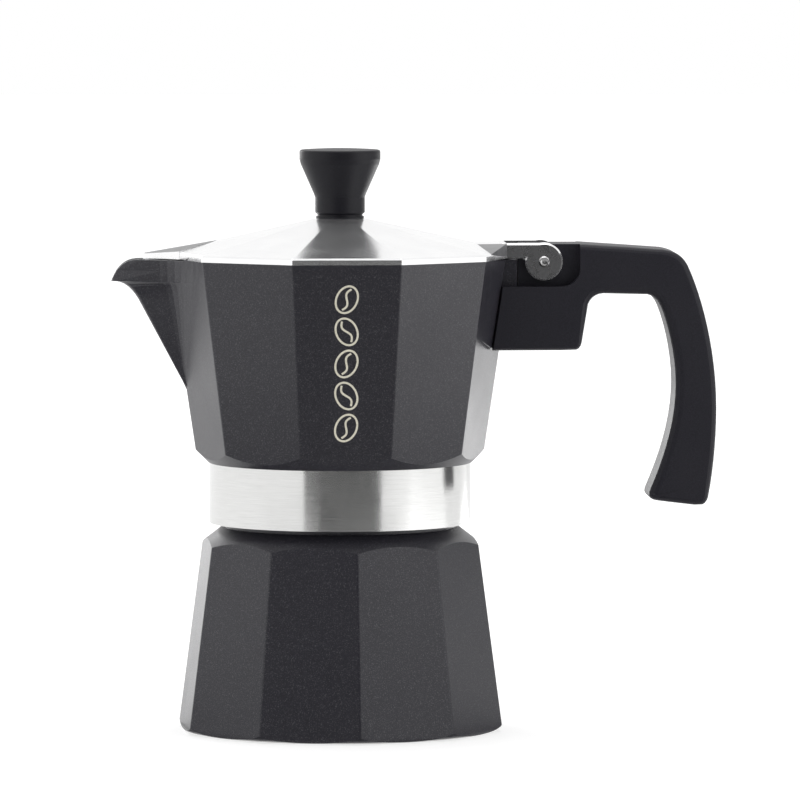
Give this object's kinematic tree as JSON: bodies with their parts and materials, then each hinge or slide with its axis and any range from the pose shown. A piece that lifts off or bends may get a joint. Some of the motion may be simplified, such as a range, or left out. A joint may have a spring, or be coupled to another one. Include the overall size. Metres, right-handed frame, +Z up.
{
  "type": "moka pot",
  "caption": "Stovetop moka pot: faceted water chamber, screw-on faceted upper pot with spout, side handle and hinged lid, with funnel, filter, gasket and safety valve inside.",
  "frame": {"origin": "centre of the boiler's flat underside, on the pot's axis", "axes": "+Z up along the pot's axis, -X towards the spout, +X towards the handle, +Y across the pot"},
  "size_m": [0.1651, 0.0906, 0.1591],
  "materials": {
    "coated_aluminium": "satin charcoal coating with a fine speckle, bare machined metal on the collar and inside",
    "polished_aluminium": "polished",
    "bare_aluminium": "satin",
    "black_plastic": "fine moulded texture",
    "steel": "bright",
    "brass": "machined",
    "silicone": "soft matt"
  },
  "bodies": {
    "base": {"boiler": "coated_aluminium", "valve_body": "brass", "valve_washer": "silicone", "valve_cap": "brass", "valve_spring": "steel"},
    "plunger": {"valve_plunger": "brass"},
    "funnel": {"brew_basket": "bare_aluminium", "funnel_stem": "bare_aluminium", "basket_screen": "bare_aluminium"},
    "upper_pot": {"collector": "coated_aluminium", "coffee_column": "bare_aluminium", "filter_plate": "bare_aluminium", "gasket": "silicone", "handle": "black_plastic", "handle_screw": "steel", "handle_screw_washer": "steel", "hinge_pin": "steel"},
    "cover": {"lid": "polished_aluminium", "knob": "black_plastic", "knob_washer": "black_plastic", "knob_screw": "steel", "knob_screw_washer": "steel", "knob_insert": "brass"}
  },
  "joints": [
    {"name": "unscrew_turn", "type": "hinge", "parent": "base", "child": "funnel", "pos_m": [0, 0, 0], "axis": [0, 0, 1], "range_deg": [0, 1080]},
    {"name": "unscrew_rise", "type": "slide", "parent": "funnel", "child": "upper_pot", "axis": [0, 0, 1], "range_m": [0, 0.009]},
    {"name": "lid_hinge", "type": "hinge", "parent": "upper_pot", "child": "cover", "pos_m": [0.05525, 0, 0.1284], "axis": [0, 1, 0], "range_deg": [0, 105]},
    {"name": "valve_lift", "type": "slide", "parent": "base", "child": "plunger", "axis": [0.2317, 0.9728, 0], "range_m": [0, 0.0012], "stiffness_N_per_m": 1000, "springref_m": -0.0016, "deforming": ["valve_spring"]}
  ],
  "couplings": [
    {"joint": "unscrew_rise", "follows": "unscrew_turn", "m_per_rad": 0.00047746}
  ]
}
